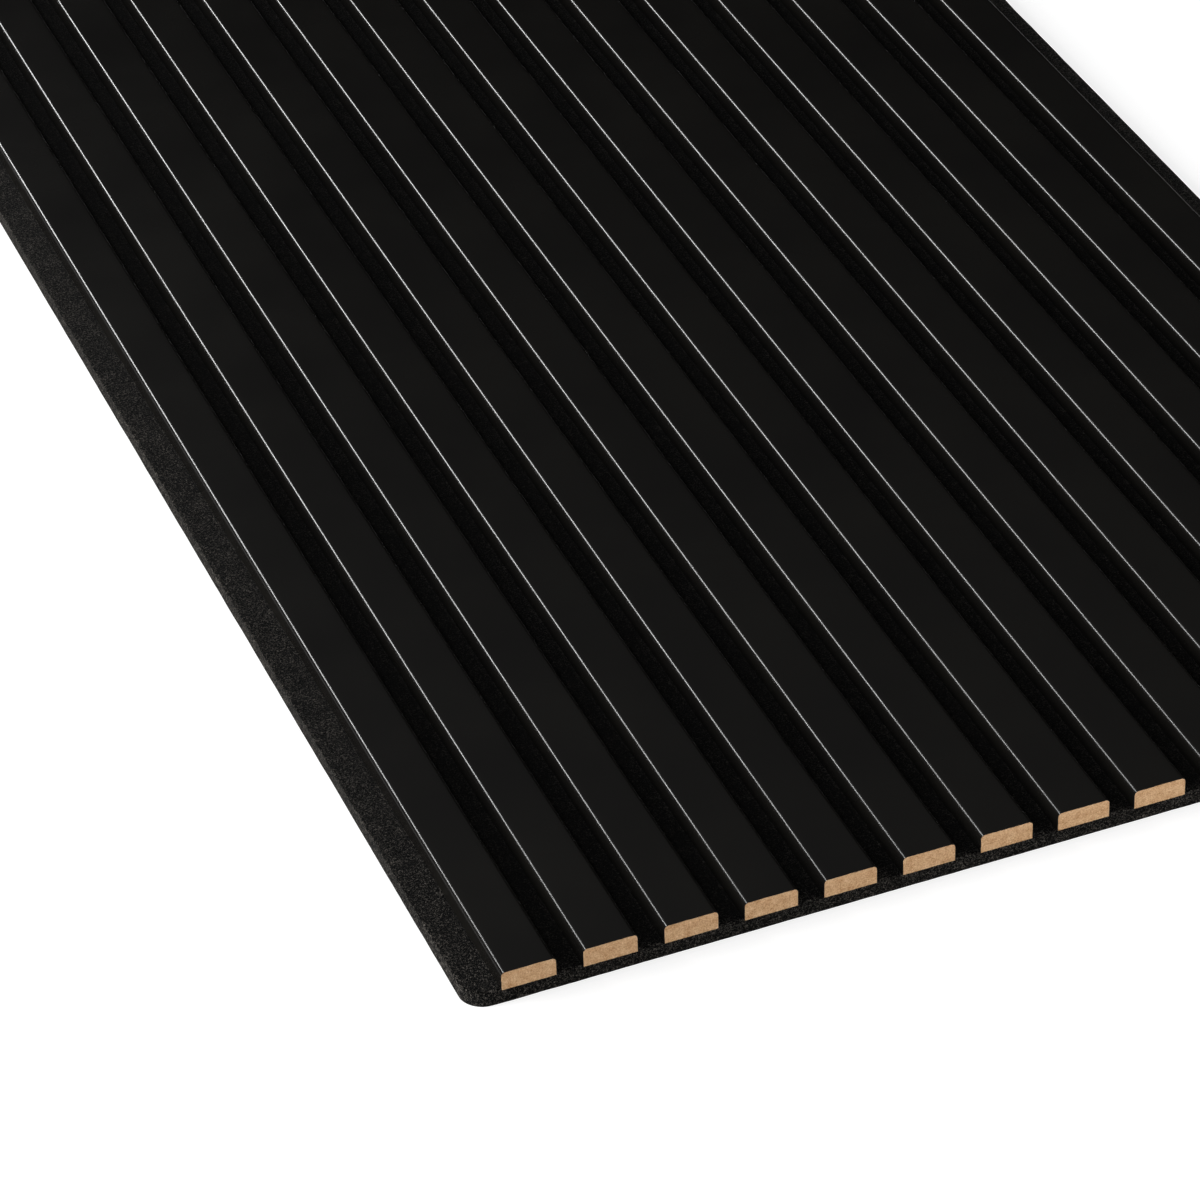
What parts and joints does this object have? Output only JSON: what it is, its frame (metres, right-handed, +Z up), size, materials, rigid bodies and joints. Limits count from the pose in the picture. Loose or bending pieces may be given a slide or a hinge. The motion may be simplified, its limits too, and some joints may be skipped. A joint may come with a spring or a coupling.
{
  "type": "slatted acoustic panel",
  "caption": "Wall panel of parallel black foil-wrapped fibreboard slats with rounded edges and bare cut ends, fixed on a stiff black felt board that absorbs sound.",
  "frame": {"origin": "middle of the felt back, on the surface that the panel lies on", "axes": "+Z up from the felt back to the slats' faces, +Y along the slats, +X across them"},
  "size_m": [0.619, 2.4, 0.0192],
  "materials": {
    "felt": "needle-punched, matte",
    "fibreboard": "sawn, raw",
    "foil": "satin",
    "staple_wire": "galvanised"
  },
  "bodies": {
    "root": {"felt_backing": "felt", "slat_core_01": "fibreboard", "slat_core_02": "fibreboard", "slat_core_03": "fibreboard", "slat_core_04": "fibreboard", "slat_core_05": "fibreboard", "slat_core_06": "fibreboard", "slat_core_07": "fibreboard", "slat_core_08": "fibreboard", "slat_core_09": "fibreboard", "slat_core_10": "fibreboard", "slat_core_11": "fibreboard", "slat_core_12": "fibreboard", "slat_core_13": "fibreboard", "slat_core_14": "fibreboard", "slat_core_15": "fibreboard", "slat_foil_01": "foil", "slat_foil_02": "foil", "slat_foil_03": "foil", "slat_foil_04": "foil", "slat_foil_05": "foil", "slat_foil_06": "foil", "slat_foil_07": "foil", "slat_foil_08": "foil", "slat_foil_09": "foil", "slat_foil_10": "foil", "slat_foil_11": "foil", "slat_foil_12": "foil", "slat_foil_13": "foil", "slat_foil_14": "foil", "slat_foil_15": "foil", "back_staples": "staple_wire"}
  },
  "joints": []
}
